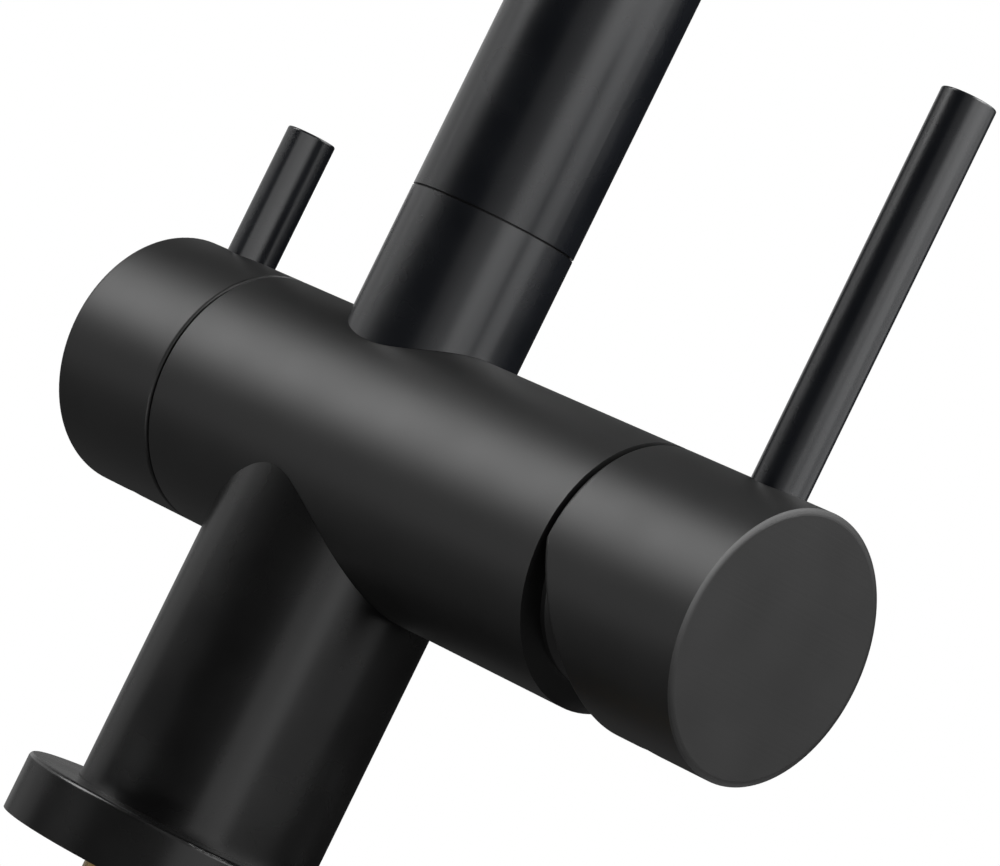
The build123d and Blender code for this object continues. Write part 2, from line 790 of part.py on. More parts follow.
with BuildPart() as filter_lever:
    bar(
        (*filter_point, axis_z + filter_seat),
        (*filter_point, axis_z + filter_lever_top),
        filter_lever_r,
    )
    fillet(filter_lever.edges().group_by(Axis.Z)[-1], edge_break)
    bar((*filter_point, axis_z + filter_stud_tip), (*filter_point, axis_z + filter_seat), filter_stud_r)
filter_lever.part.label = "filter_lever"
export_step(filter_lever.part, "parts/filter_lever.step")

with BuildPart() as filter_set_screw:
    bar(
        (*filter_point, axis_z - filter_boss_r),
        (*filter_point, axis_z - adaptor_r),
        set_screw_r,
    )
    with BuildSketch(Plane(origin=(*filter_point, axis_z - filter_boss_r))):
        RegularPolygon(key_flats / 2, 6, major_radius=False)
    extrude(amount=key_depth, mode=Mode.SUBTRACT)
filter_set_screw.part.label = "filter_set_screw"
export_step(filter_set_screw.part, "parts/filter_set_screw.step")

with BuildPart() as filter_screw_cap:
    bar(
        (*filter_point, axis_z - cap_outer),
        (*filter_point, axis_z - cap_inner),
        access_hole_r - thread_gap,
    )
filter_screw_cap.part.label = "filter_screw_cap"
export_step(filter_screw_cap.part, "parts/filter_screw_cap.step")

# ---- spout: swivels about the column axis --------------------------------------------------

bearing_ring_r = 15.0

with BuildPart() as spout_bearing_ring:
    with BuildSketch(Plane.XY.offset(neck_top)):
        Circle(bearing_ring_r)
        Circle(neck_bore_r, mode=Mode.SUBTRACT)
    extrude(amount=seam_top - neck_top)
spout_bearing_ring.part.label = "spout_bearing_ring"
export_step(spout_bearing_ring.part, "parts/spout_bearing_ring.step")

groove_r = 10.9
groove_half = 1.7
screw_tip_r = 1.4
screw_tip_y = 11.1
screw_step_y = 12.6
screw_head_y = 15.2
screw_key_flats = 2.0
screw_key_depth = 1.4

with BuildPart() as spout_retaining_screw:
    bar((0, screw_tip_y, retaining_z), (0, screw_step_y, retaining_z), screw_tip_r)
    bar((0, screw_step_y, retaining_z), (0, screw_head_y, retaining_z), retaining_r)
    with BuildSketch(Plane(origin=(0, screw_head_y, retaining_z), z_dir=(0, -1, 0))):
        RegularPolygon(screw_key_flats / 2, 6, major_radius=False)
    extrude(amount=screw_key_depth, mode=Mode.SUBTRACT)
spout_retaining_screw.part.label = "spout_retaining_screw"
export_step(spout_retaining_screw.part, "parts/spout_retaining_screw.step")

spigot_r = neck_bore_r - turning_gap
spigot_bottom = 100.5
spigot_bore_r = 9.5
adaptor_top = 150.0
o_ring_floor = 10.5
o_ring_half = 1.5
o_ring_heights = [("lower", 107.5), ("upper", 113.5)]
adaptor_outline = [(spigot_bore_r, spigot_bottom), (spigot_r, spigot_bottom)]
for groove_z, floor_r, half in (
    (o_ring_heights[0][1], o_ring_floor, o_ring_half),
    (o_ring_heights[1][1], o_ring_floor, o_ring_half),
    (retaining_z, groove_r, groove_half),
):
    adaptor_outline.append((spigot_r, groove_z - half))
    adaptor_outline.append((floor_r, groove_z - half))
    adaptor_outline.append((floor_r, groove_z + half))
    adaptor_outline.append((spigot_r, groove_z + half))
adaptor_outline.append((spigot_r, seam_top))
adaptor_outline.append((spout_inner_r - seal_gap, seam_top))
adaptor_outline.append((spout_inner_r - seal_gap, adaptor_top))
adaptor_outline.append((spigot_bore_r, adaptor_top))

with BuildPart() as spout_adaptor:
    turn(adaptor_outline, column_plane, column_axis)
spout_adaptor.part.label = "spout_adaptor"
export_step(spout_adaptor.part, "parts/spout_adaptor.step")

o_ring_major = 11.5
o_ring_minor = 0.95

for name, z in o_ring_heights:
    with BuildPart() as spout_o_ring:
        with Locations((0, 0, z)):
            Torus(o_ring_major, o_ring_minor)
    spout_o_ring.part.label = f"spout_o_ring_{name}"
    export_step(spout_o_ring.part, f"parts/spout_o_ring_{name}.step")

# The spout's centre line: up the riser, over a half circle and down to the outlet.
arc_start = (0, 0, spout_arc_z)
arc_top = (0, -spout_arc_r, spout_arc_z + spout_arc_r)
arc_end = (0, outlet_y, spout_arc_z)

with BuildPart() as spout_tube:
    with BuildLine() as spout_path:
        Line((0, 0, seam_top), arc_start)
        ThreePointArc(arc_start, arc_top, arc_end)
        Line(arc_end, (0, outlet_y, spout_foot))
    with BuildSketch(Plane.XY.offset(seam_top)):
        Circle(neck_r)
        Circle(spout_inner_r, mode=Mode.SUBTRACT)
    sweep(path=spout_path.line)
spout_tube.part.label = "spout_tube"
export_step(spout_tube.part, "parts/spout_tube.step")

fitting_bottom = 93.4
fitting_collar_top = neck_floor + 2.5
fitting_top = 112.0
tube_end_z = 230.0

with BuildPart() as filtered_water_tube:
    with BuildLine() as tube_path:
        Line((0, 0, fitting_collar_top), arc_start)
        ThreePointArc(arc_start, arc_top, arc_end)
        Line(arc_end, (0, outlet_y, tube_end_z))
    with BuildSketch(Plane.XY.offset(fitting_collar_top)):
        Circle(tube_r)
        Circle(tube_bore_r, mode=Mode.SUBTRACT)
    sweep(path=tube_path.line)
filtered_water_tube.part.label = "filtered_water_tube"
export_step(filtered_water_tube.part, "parts/filtered_water_tube.step")

fitting_r = port_r - turning_gap
fitting_bore_r = 1.8
fitting_groove_r = 3.3
fitting_groove_z = 96.4
fitting_groove_half = 0.8
fitting_collar_r = 6.0
fitting_seal_major = 3.95
fitting_seal_minor = 0.6

with BuildPart() as filtered_tube_fitting:
    turn(
        [
            (fitting_bore_r, fitting_bottom),
            (fitting_r, fitting_bottom),
            (fitting_r, fitting_groove_z - fitting_groove_half),
            (fitting_groove_r, fitting_groove_z - fitting_groove_half),
            (fitting_groove_r, fitting_groove_z + fitting_groove_half),
            (fitting_r, fitting_groove_z + fitting_groove_half),
            (fitting_r, neck_floor),
            (fitting_collar_r, neck_floor),
            (fitting_collar_r, fitting_collar_top),
            (tube_bore_r, fitting_collar_top),
            (tube_bore_r, fitting_top),
            (fitting_bore_r, fitting_top),
        ],
        column_plane,
        column_axis,
    )
filtered_tube_fitting.part.label = "filtered_tube_fitting"
export_step(filtered_tube_fitting.part, "parts/filtered_tube_fitting.step")

with BuildPart() as filtered_tube_seal:
    with Locations((0, 0, fitting_groove_z)):
        Torus(fitting_seal_major, fitting_seal_minor)
filtered_tube_seal.part.label = "filtered_tube_seal"
export_step(filtered_tube_seal.part, "parts/filtered_tube_seal.step")

# ---- spout: outlet end ---------------------------------------------------------------------

sleeve_top = 240.0
sleeve_lip = 236.5
aerator_thread_r = 12.0
aerator_thread_top = 235.0
aerator_bore_r = 10.0
water_way_r = 8.5
aerator_seal_bore_r = 9.0

with BuildPart() as outlet_sleeve:
    turn(
        [
            (aerator_thread_r, spout_foot),
            (spout_inner_r - seal_gap, spout_foot),
            (spout_inner_r - seal_gap, sleeve_top),
            (water_way_r, sleeve_top),
            (water_way_r, sleeve_lip),
            (aerator_thread_r, sleeve_lip),
        ],
        outlet_plane,
        outlet_axis,
    )
outlet_sleeve.part.label = "outlet_sleeve"
export_step(outlet_sleeve.part, "parts/outlet_sleeve.step")

insert_bottom = outlet_bottom + 1.5
insert_top = spout_foot
shell_mouth_r = 9.2
shell_bevel = 0.8

with BuildPart() as aerator_shell:
    turn(
        [
            (shell_mouth_r, outlet_bottom),
            (neck_r - shell_bevel, outlet_bottom),
            (neck_r, outlet_bottom + shell_bevel),
            (neck_r, spout_foot),
            (aerator_thread_r - seal_gap, spout_foot),
            (aerator_thread_r - seal_gap, aerator_thread_top),
            (aerator_bore_r, aerator_thread_top),
            (aerator_bore_r, insert_bottom),
            (shell_mouth_r, insert_bottom),
        ],
        outlet_plane,
        outlet_axis,
    )
aerator_shell.part.label = "aerator_shell"
export_step(aerator_shell.part, "parts/aerator_shell.step")

nozzle_r = 4.2
nozzle_bevel = 0.5
nozzle_hub_r = 5.2
nozzle_hub_top = tube_end_z + 8.0
nozzle_bore_r = 2.5
jet_rings = [(5.6, 14), (7.2, 18)]
jet_r = 0.5

with BuildPart() as aerator_insert:
    with BuildSketch(Plane(origin=(0, outlet_y, insert_bottom))):
        Circle(aerator_bore_r - seal_gap)
        Circle(nozzle_r + thread_gap, mode=Mode.SUBTRACT)
        for ring_r, jet_count in jet_rings:
            with PolarLocations(ring_r, jet_count):
                Circle(jet_r, mode=Mode.SUBTRACT)
    extrude(amount=insert_top - insert_bottom)
aerator_insert.part.label = "aerator_insert"
export_step(aerator_insert.part, "parts/aerator_insert.step")

with BuildPart() as filtered_nozzle:
    turn(
        [
            (nozzle_bore_r, outlet_bottom),
            (nozzle_r - nozzle_bevel, outlet_bottom),
            (nozzle_r, outlet_bottom + nozzle_bevel),
            (nozzle_r, insert_top),
            (nozzle_hub_r, insert_top),
            (nozzle_hub_r, nozzle_hub_top),
            (tube_r, nozzle_hub_top),
            (tube_r, tube_end_z),
            (nozzle_bore_r, tube_end_z),
        ],
        outlet_plane,
        outlet_axis,
    )
filtered_nozzle.part.label = "filtered_nozzle"
export_step(filtered_nozzle.part, "parts/filtered_nozzle.step")

with BuildPart() as aerator_seal:
    turn(
        [
            (aerator_seal_bore_r, aerator_thread_top),
            (aerator_thread_r - seal_gap, aerator_thread_top),
            (aerator_thread_r - seal_gap, sleeve_lip),
            (aerator_seal_bore_r, sleeve_lip),
        ],
        outlet_plane,
        outlet_axis,
    )
aerator_seal.part.label = "aerator_seal"
export_step(aerator_seal.part, "parts/aerator_seal.step")

# The spout's volume against its section times its centre line.
centre_line = (spout_arc_z - seam_top) + pi * spout_arc_r + (spout_arc_z - spout_foot)
section_area = pi * (neck_r**2 - spout_inner_r**2)
print("spout volume", round(spout_tube.part.volume), "expected", round(section_area * centre_line))
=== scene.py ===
import json
import math
import bmesh
import bpy
from mathutils import Matrix, Vector


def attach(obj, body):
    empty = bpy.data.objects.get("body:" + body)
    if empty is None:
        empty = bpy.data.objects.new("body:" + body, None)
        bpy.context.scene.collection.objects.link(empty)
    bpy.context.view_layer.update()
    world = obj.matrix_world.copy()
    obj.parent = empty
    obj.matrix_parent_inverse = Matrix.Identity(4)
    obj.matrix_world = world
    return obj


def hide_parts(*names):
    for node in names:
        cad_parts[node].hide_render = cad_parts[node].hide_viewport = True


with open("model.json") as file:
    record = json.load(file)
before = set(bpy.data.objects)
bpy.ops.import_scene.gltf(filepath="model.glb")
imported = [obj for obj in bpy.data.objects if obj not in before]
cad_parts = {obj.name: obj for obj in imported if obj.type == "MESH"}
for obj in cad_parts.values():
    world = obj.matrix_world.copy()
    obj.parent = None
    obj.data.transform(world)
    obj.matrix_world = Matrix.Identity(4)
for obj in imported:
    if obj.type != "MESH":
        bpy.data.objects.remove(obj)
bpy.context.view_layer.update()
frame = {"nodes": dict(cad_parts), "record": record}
nodes = frame["nodes"]
print("frame loaded:", len(nodes), "nodes")

# Three way filtered water tap in satin black. Metres, in the frame of the CAD: +Z up, +X to the
# mixer, -Y to the user.
grainHeight = 0.00002    # every grain and tool mark is at most 0.02 mm high
noiseLow = 0.3    # noise seldom leaves 0.3 to 0.7, so tint and gloss are spread over that range
noiseHigh = 0.7
fineDetail = 2.0    # octaves of noise
cloudDetail = 3.0


# sRGB hex to linear
def linearColour(hexText):
    channels = [int(hexText[i:i + 2], 16) / 255 for i in (1, 3, 5)]
    return [c / 12.92 if c <= 0.04045 else ((c + 0.055) / 1.055) ** 2.4 for c in channels] + [1.0]


def addNode(tree, kind, settings=None, links=None):
    node = tree.nodes.new(kind)
    for name, value in (settings or {}).items():
        if name in node.inputs:
            node.inputs[name].default_value = value
        else:
            setattr(node, name, value)
    for name, source in (links or {}).items():
        tree.links.new(source, node.inputs[name])
    return node


def newMaterial(name):
    material = bpy.data.materials.new(name)
    material.use_nodes = True
    material.node_tree.nodes.clear()
    return material, material.node_tree


# What every finish shares: a tint and a gloss that each follow a noise, a bump and the shader.
def finishMaterial(tree, look, tintBy, glossBy, bumpBy, shaderSettings):
    tint = addNode(tree, "ShaderNodeValToRGB", links={"Fac": tintBy})
    stops = tint.color_ramp.elements
    for stop, place, shade in zip(stops, (noiseLow, noiseHigh), (look["dark"], look["light"])):
        stop.position = place
        stop.color = linearColour(shade)
    gloss = addNode(tree, "ShaderNodeMapRange",
                    {"From Min": noiseLow, "From Max": noiseHigh,
                     "To Min": look["roughness"] - look["roughnessSpread"],
                     "To Max": look["roughness"] + look["roughnessSpread"]}, {"Value": glossBy})
    bump = addNode(tree, "ShaderNodeBump", {"Strength": look["grainStrength"], "Distance": grainHeight},
                   {"Height": bumpBy})
    shader = addNode(tree, "ShaderNodeBsdfPrincipled", shaderSettings,
                     {"Base Color": tint.outputs["Color"], "Roughness": gloss.outputs["Result"],
                      "Normal": bump.outputs["Normal"]})
    addNode(tree, "ShaderNodeOutputMaterial", links={"Surface": shader.outputs[0]})


# Brass under a baked satin black lacquer: almost no body colour, a soft broad sheen, and a grain so
# fine that it only breaks the highlight up. The real grain is near 0.08 mm and is drawn at 0.3 mm so
# that it shows.
def makeSatinBlack(name, look):
    material, tree = newMaterial(name)
    place = addNode(tree, "ShaderNodeTexCoord").outputs["Object"]
    grain = addNode(tree, "ShaderNodeTexNoise",
                    {"Scale": 1 / look["grainSize"], "Detail": fineDetail,
                     "Roughness": look["grainBreakup"]}, {"Vector": place})
    cloud = addNode(tree, "ShaderNodeTexNoise", {"Scale": 1 / look["cloudSize"], "Detail": cloudDetail},
                    {"Vector": place})
    finishMaterial(tree, look, cloud.outputs["Fac"], cloud.outputs["Fac"], grain.outputs["Fac"],
                   {"IOR": look["ior"], "Specular IOR Level": look["specular"]})
    return material


# the cast pieces have the widest sheen, drawn tube is smoother and a little cool
castingLook = {
    "dark": "#090909", "light": "#0d0d0d", "roughness": 0.46, "roughnessSpread": 0.015,
    "grainSize": 0.0003, "grainBreakup": 0.55, "grainStrength": 0.08, "cloudSize": 0.012,
    "ior": 1.5, "specular": 0.5,
}
tubeLook = {
    **castingLook, "dark": "#07090d", "light": "#0b0d11", "roughness": 0.27, "grainStrength": 0.04,
}
# turned brass is as smooth as the tube, without its cool tint
columnLook = {**tubeLook, "dark": "#090909", "light": "#0d0d0d"}
neckBrightenedLook = {**tubeLook, "specular": 0.66}    # painted light: the neck is the same tube, with its specular level raised from 0.5 to 0.66 to stand in for the light the barrel shades off it
satinBlackCasting = makeSatinBlack("satinBlackLacquerOnCastBrass", castingLook)
satinBlackTube = makeSatinBlack("satinBlackLacquerOnDrawnTube", tubeLook)
satinBlackColumn = makeSatinBlack("satinBlackLacquerOnTurnedBrass", columnLook)
# the neck's material carries painted light: its reflections are stronger than on the same tube elsewhere
satinBlackNeckBrightened = makeSatinBlack("satinBlackLacquerOnNeckWithPaintedLight", neckBrightenedLook)


# The round end face is brushed straight across before it is lacquered, so faint level lines show
# through the coat.
def brushEndFace(material, look):
    tree = material.node_tree
    place = addNode(tree, "ShaderNodeTexCoord").outputs["Object"]
    stretch = (1.0, 1 / look["lineLength"], 1 / look["lineWidth"])
    level = addNode(tree, "ShaderNodeMapping", {"Scale": stretch}, {"Vector": place})
    lines = addNode(tree, "ShaderNodeTexNoise", {"Scale": 1.0, "Detail": fineDetail},
                    {"Vector": level.outputs[0]})
    along = addNode(tree, "ShaderNodeSeparateXYZ", links={0: place}).outputs["X"]
    onFace = addNode(tree, "ShaderNodeMath", {"operation": "GREATER_THAN"}, {0: along})
    onFace.inputs[1].default_value = look["faceFrom"]
    height = addNode(tree, "ShaderNodeMath", {"operation": "MULTIPLY"},
                     {0: lines.outputs["Fac"], 1: onFace.outputs[0]})
    shader = next(node for node in tree.nodes if node.type == "BSDF_PRINCIPLED")
    grained = shader.inputs["Normal"].links[0].from_socket
    brushed = addNode(tree, "ShaderNodeBump", {"Strength": look["lineStrength"], "Distance": grainHeight},
                      {"Height": height.outputs[0], "Normal": grained})
    tree.links.new(brushed.outputs["Normal"], shader.inputs["Normal"])


endFaceLook = {
    "faceFrom": 0.09955, "lineWidth": 0.0005, "lineLength": 0.02, "lineStrength": 0.5,
}
satinBlackHandle = makeSatinBlack("satinBlackLacquerOnBrushedHandle", castingLook)
brushEndFace(satinBlackHandle, endFaceLook)


# Free cutting brass and stainless steel as they leave the lathe: fine rings round the turning axis,
# which draw the highlight out along it. The feed is 0.1 mm and is drawn at 0.25 mm.
def makeTurnedMetal(name, look):
    material, tree = newMaterial(name)
    place = addNode(tree, "ShaderNodeTexCoord").outputs["Object"]
    across = 1 / look["feed"]
    along = 1 / look["ringLength"]
    stretch = {"Z": (along, along, across), "X": (across, along, along)}[look["axis"]]
    rings = addNode(tree, "ShaderNodeMapping", {"Scale": stretch}, {"Vector": place})
    lines = addNode(tree, "ShaderNodeTexNoise", {"Scale": 1.0, "Detail": fineDetail},
                    {"Vector": rings.outputs[0]})
    cloud = addNode(tree, "ShaderNodeTexNoise", {"Scale": look["cloudsPerMetre"], "Detail": cloudDetail},
                    {"Vector": place})
    finishMaterial(tree, look, cloud.outputs["Fac"], lines.outputs["Fac"], lines.outputs["Fac"],
                   {"Metallic": 1.0})
    return material


brassLook = {
    "dark": "#a98a4e", "light": "#c2a263", "roughness": 0.28, "roughnessSpread": 0.06,
    "feed": 0.00025, "ringLength": 0.02, "cloudsPerMetre": 90.0, "grainStrength": 0.25, "axis": "Z",
}
steelLook = {**brassLook, "dark": "#a9a9a6", "light": "#c4c4c0", "roughness": 0.3}
turnedBrassUpright = makeTurnedMetal("turnedBrassUpright", brassLook)
turnedBrassLevel = makeTurnedMetal("turnedBrassLevel", {**brassLook, "axis": "X"})
stainlessSteel = makeTurnedMetal("stainlessSteel", steelLook)


# Moulded and sintered materials: a faint mottle and the mould's grain.
def makeMoulded(name, look):
    material, tree = newMaterial(name)
    place = addNode(tree, "ShaderNodeTexCoord").outputs["Object"]
    mottle = addNode(tree, "ShaderNodeTexNoise", {"Scale": 1 / look["mottleSize"], "Detail": cloudDetail},
                     {"Vector": place})
    grain = addNode(tree, "ShaderNodeTexVoronoi", {"Scale": 1 / look["grainSize"]}, {"Vector": place})
    finishMaterial(tree, look, mottle.outputs["Fac"], mottle.outputs["Fac"], grain.outputs["Distance"],
                   {"IOR": look["ior"], "Subsurface Weight": look["glow"],
                    "Subsurface Scale": look["glowDepth"]})
    return material


# lapped alumina: dense white, close to polished
aluminaLook = {
    "dark": "#e6e2d6", "light": "#f1eee4", "roughness": 0.22, "roughnessSpread": 0.04, "ior": 1.76,
    "glow": 0.0, "glowDepth": 0.001, "mottleSize": 0.002, "grainSize": 0.0002, "grainStrength": 0.05,
}
# EPDM rubber: dull, slightly grey black
rubberLook = {
    "dark": "#141415", "light": "#1c1c1d", "roughness": 0.72, "roughnessSpread": 0.04, "ior": 1.52,
    "glow": 0.0, "glowDepth": 0.001, "mottleSize": 0.003, "grainSize": 0.0003, "grainStrength": 0.35,
}
# moulded acetal: milky white with a soft sheen
acetalLook = {
    "dark": "#dedcd2", "light": "#e9e7de", "roughness": 0.4, "roughnessSpread": 0.04, "ior": 1.48,
    "glow": 0.15, "glowDepth": 0.001, "mottleSize": 0.004, "grainSize": 0.0004, "grainStrength": 0.15,
}
# moulded black polyamide: an even, spark eroded grain
polyamideLook = {
    "dark": "#0e0e0f", "light": "#141415", "roughness": 0.5, "roughnessSpread": 0.04, "ior": 1.53,
    "glow": 0.0, "glowDepth": 0.001, "mottleSize": 0.003, "grainSize": 0.0003, "grainStrength": 0.4,
}
alumina = makeMoulded("lappedAlumina", aluminaLook)
rubber = makeMoulded("epdmRubber", rubberLook)
acetal = makeMoulded("mouldedAcetal", acetalLook)
polyamide = makeMoulded("mouldedPolyamide", polyamideLook)
print("finishes made")

finishOf = {
    "valve_body": satinBlackCasting, "base_flange": satinBlackColumn,
    "cartridge_shroud": satinBlackCasting, "mixer_handle": satinBlackHandle,
    "filter_handle": satinBlackCasting, "aerator_shell": satinBlackCasting,
    "spout_neck": satinBlackNeckBrightened, "spout_tube": satinBlackTube, "column_sleeve": satinBlackColumn,
    "mixer_lever": satinBlackTube, "filter_lever": satinBlackTube,
    "mounting_shank": turnedBrassUpright, "clamp_nut": turnedBrassUpright,
    "spout_adaptor": turnedBrassUpright, "filtered_tube_fitting": turnedBrassUpright,
    "outlet_sleeve": turnedBrassUpright,
    "cartridge_nut": turnedBrassLevel, "filter_valve_body": turnedBrassLevel,
    "filter_spindle": turnedBrassLevel, "cartridge_stem": turnedBrassLevel,
}
# every other node takes the finish of its material slot
finishOfSlot = {
    "steel": stainlessSteel, "ceramic": alumina, "rubber": rubber, "white_plastic": acetal,
    "black_plastic": polyamide, "brass": turnedBrassUpright, "black_coat": satinBlackCasting,
}
slotOfNode = {entry["node"]: entry["material_slot"] for entry in frame["record"]["subparts"]}
for name, node in nodes.items():
    finish = finishOf.get(name) or finishOfSlot[slotOfNode[name]]
    node.data.materials.clear()
    node.data.materials.append(finish)
print("finishes laid on the nodes")

sharpAngle = math.radians(35)    # edges steeper than this stay sharp
mergeDistance = 1e-6
cutTolerance = 1e-8
bevelSteps = 2


# Links a finished mesh, which rides on a body and stands for a node.
def placePiece(bm, name, finish, body, replaced):
    for face in bm.faces:
        face.smooth = True
    for edge in bm.edges:
        edge.smooth = not edge.is_manifold or edge.calc_face_angle(0) < sharpAngle
    mesh = bpy.data.meshes.new(name)
    bm.to_mesh(mesh)
    bm.free()
    mesh.materials.append(finish)
    piece = bpy.data.objects.new(name, mesh)
    bpy.context.scene.collection.objects.link(piece)
    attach(piece, body)
    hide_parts(replaced)


def addMesh(bm, other):
    mesh = bpy.data.meshes.new("part")
    other.to_mesh(mesh)
    other.free()
    bm.from_mesh(mesh)
    bpy.data.meshes.remove(mesh)


def vertsOf(geometry):
    return [item for item in geometry if isinstance(item, bmesh.types.BMVert)]


def edgesAt(bm, height):
    return [e for e in bm.edges if all(abs(v.co.z - height) < mergeDistance for v in e.verts)]


def rimAt(bm, height):
    return [e for e in edgesAt(bm, height) if e.is_boundary]


# Pulls a rim out into a new ring with the given radius and height.
def extendRim(bm, rim, radius, height):
    made = bmesh.ops.extrude_edge_only(bm, edges=rim)["geom"]
    for vert in vertsOf(made):
        flat = vert.co.xy.normalized() * radius
        vert.co = (flat.x, flat.y, height)
    return [item for item in made if isinstance(item, bmesh.types.BMEdge) and item.is_boundary]


# Cuts away everything on the side of the plane that outward points to.
def cutAway(bm, point, outward):
    bmesh.ops.bisect_plane(bm, geom=bm.verts[:] + bm.edges[:] + bm.faces[:], dist=cutTolerance,
                           plane_co=point, plane_no=outward, clear_outer=True)


def bevelEdges(bm, edges, width):
    bmesh.ops.bevel(bm, geom=edges, offset=width, segments=bevelSteps, profile=0.5, affect="EDGES",
                    material=-1)


threadShape = {"crestEnd": 0.14, "rootStart": 0.5, "rootEnd": 0.64}    # in shares of the pitch
spareTurns = 2    # cut off again at the ends


# A true helix: the outline of one thread is spun down the rod, cut square at both ends and
# bevelled at the lower one.
def cutThread(bm, look):
    pitch = look["pitch"]
    crest = look["crest"]
    root = look["root"]
    turns = math.ceil((look["top"] - look["bottom"]) / pitch) + spareTurns
    outline = [(crest, 0.0), (crest, threadShape["crestEnd"]), (root, threadShape["rootStart"]),
               (root, threadShape["rootEnd"]), (crest, 1.0)]
    verts = [bm.verts.new((radius, 0, look["top"] + pitch - share * pitch)) for radius, share in outline]
    edges = [bm.edges.new(pair) for pair in zip(verts, verts[1:])]
    bmesh.ops.spin(bm, geom=verts + edges, cent=(0, 0, 0), axis=(0, 0, 1),
                   dvec=(0, 0, -pitch / look["steps"]), angle=math.tau * turns,
                   steps=look["steps"] * turns, use_merge=False)
    bmesh.ops.remove_doubles(bm, verts=bm.verts, dist=mergeDistance)
    cutAway(bm, (0, 0, look["top"]), (0, 0, 1))
    cutAway(bm, (0, 0, look["bottom"]), (0, 0, -1))
    for vert in bm.verts:
        limit = crest - look["bevel"] + (vert.co.z - look["bottom"])
        reach = vert.co.xy.length
        if reach > limit:
            vert.co.x *= limit / reach
            vert.co.y *= limit / reach


shankLook = {
    "crest": 0.015, "root": 0.0142, "pitch": 0.0015, "top": -0.008, "bottom": -0.070, "bevel": 0.001,
    "steps": 48, "runout": 0.0003, "bore": 0.0125, "boreBevel": 0.0003, "relief": 0.0147,
    "reliefTop": 0.044, "end": 0.054,
}


def makeShank(look):
    bm = bmesh.new()
    cutThread(bm, look)
    upper = extendRim(bm, rimAt(bm, look["top"]), look["crest"], look["top"] + look["runout"])
    for radius, height in ((look["crest"], 0.0), (look["relief"], 0.0), (look["relief"], look["reliefTop"]),
                           (look["crest"], look["reliefTop"]), (look["crest"], look["end"]),
                           (look["bore"], look["end"])):
        upper = extendRim(bm, upper, radius, height)
    lower = extendRim(bm, rimAt(bm, look["bottom"]), look["bore"] + look["boreBevel"], look["bottom"])
    lower = extendRim(bm, lower, look["bore"], look["bottom"] + look["boreBevel"])
    bmesh.ops.bridge_loops(bm, edges=upper + lower)
    bmesh.ops.recalc_face_normals(bm, faces=bm.faces)
    placePiece(bm, "threadedShank", turnedBrassUpright, "tap_body", "mounting_shank")


makeShank(shankLook)


# A hexagonal plate between two heights, with one corner on the X axis.
def makeHexPlate(radius, bottom, top):
    bm = bmesh.new()
    place = Matrix.Translation((0, 0, bottom)) @ Matrix.Rotation(math.radians(30), 4, "Z")
    bmesh.ops.create_circle(bm, cap_ends=True, segments=6, radius=radius, matrix=place)
    made = bmesh.ops.extrude_face_region(bm, geom=bm.faces[:])["geom"]
    bmesh.ops.translate(bm, verts=vertsOf(made), vec=(0, 0, top - bottom))
    bmesh.ops.recalc_face_normals(bm, faces=bm.faces)
    return bm


clampScrewLook = {
    "crest": 0.0025, "root": 0.0021, "pitch": 0.0008, "top": -0.0345, "bottom": -0.049, "bevel": 0.0,
    "steps": 20, "sunk": 0.0001, "circle": 0.021, "angles": (30, 150, 270), "headBottom": -0.053,
    "flats": 0.008, "slotWidth": 0.0012, "slotTop": -0.0515, "headBevel": 0.0004, "slotBevel": 0.0001,
}


def makeClampScrew(look, number):
    bm = bmesh.new()
    cutThread(bm, look)
    tip = extendRim(bm, rimAt(bm, look["top"]), look["root"], look["top"])
    bmesh.ops.holes_fill(bm, edges=tip)
    foot = extendRim(bm, rimAt(bm, look["bottom"]), look["crest"], look["bottom"] - look["sunk"])
    bmesh.ops.holes_fill(bm, edges=foot)
    bmesh.ops.recalc_face_normals(bm, faces=bm.faces)
    corner = look["flats"] / math.sqrt(3)
    plate = makeHexPlate(corner, look["slotTop"], look["bottom"])
    bevelEdges(plate, edgesAt(plate, look["bottom"]), look["headBevel"])
    addMesh(bm, plate)
    # the two lugs beside the driver slot
    for side in (-1, 1):
        lug = makeHexPlate(corner, look["headBottom"], look["slotTop"])
        cutAway(lug, (side * look["slotWidth"] / 2, 0, 0), (-side, 0, 0))
        bmesh.ops.holes_fill(lug, edges=[e for e in lug.edges if e.is_boundary])
        bevelEdges(lug, edgesAt(lug, look["headBottom"]), look["slotBevel"])
        addMesh(bm, lug)
    angle = math.radians(look["angles"][number])
    bmesh.ops.rotate(bm, verts=bm.verts, cent=(0, 0, 0), matrix=Matrix.Rotation(angle, 3, "Z"))
    bmesh.ops.translate(bm, verts=bm.verts,
                        vec=(look["circle"] * math.cos(angle), look["circle"] * math.sin(angle), 0))
    placePiece(bm, f"clampScrew{number + 1}", stainlessSteel, "tap_body",
               f"clamp_screw_{number + 1}")


for number in range(len(clampScrewLook["angles"])):
    makeClampScrew(clampScrewLook, number)
print("threaded pieces made")

screenLook = {
    "centre": (0.0, -0.19), "bottom": 0.2195, "top": 0.226, "outer": 0.0099, "rim": 0.0090,
    "hub": 0.0050, "bore": 0.00425, "bevel": 0.0002, "steps": 64, "cell": 0.0011, "wall": 0.00022,
    "cellDepth": 0.004, "recess": 0.0004, "margin": 1.2, "weld": 0.05,
}


# Spins a closed outline of radii and heights round the screen's axis.
def spinProfile(outline, look):
    bm = bmesh.new()
    x, y = look["centre"]
    verts = [bm.verts.new((x + radius, y, height)) for radius, height in outline]
    edges = [bm.edges.new(pair) for pair in zip(verts, verts[1:] + verts[:1])]
    bmesh.ops.spin(bm, geom=verts + edges, cent=(x, y, 0), axis=(0, 0, 1), angle=math.tau,
                   steps=look["steps"], use_merge=True)
    bmesh.ops.remove_doubles(bm, verts=bm.verts, dist=mergeDistance)
    bmesh.ops.recalc_face_normals(bm, faces=bm.faces)
    return bm


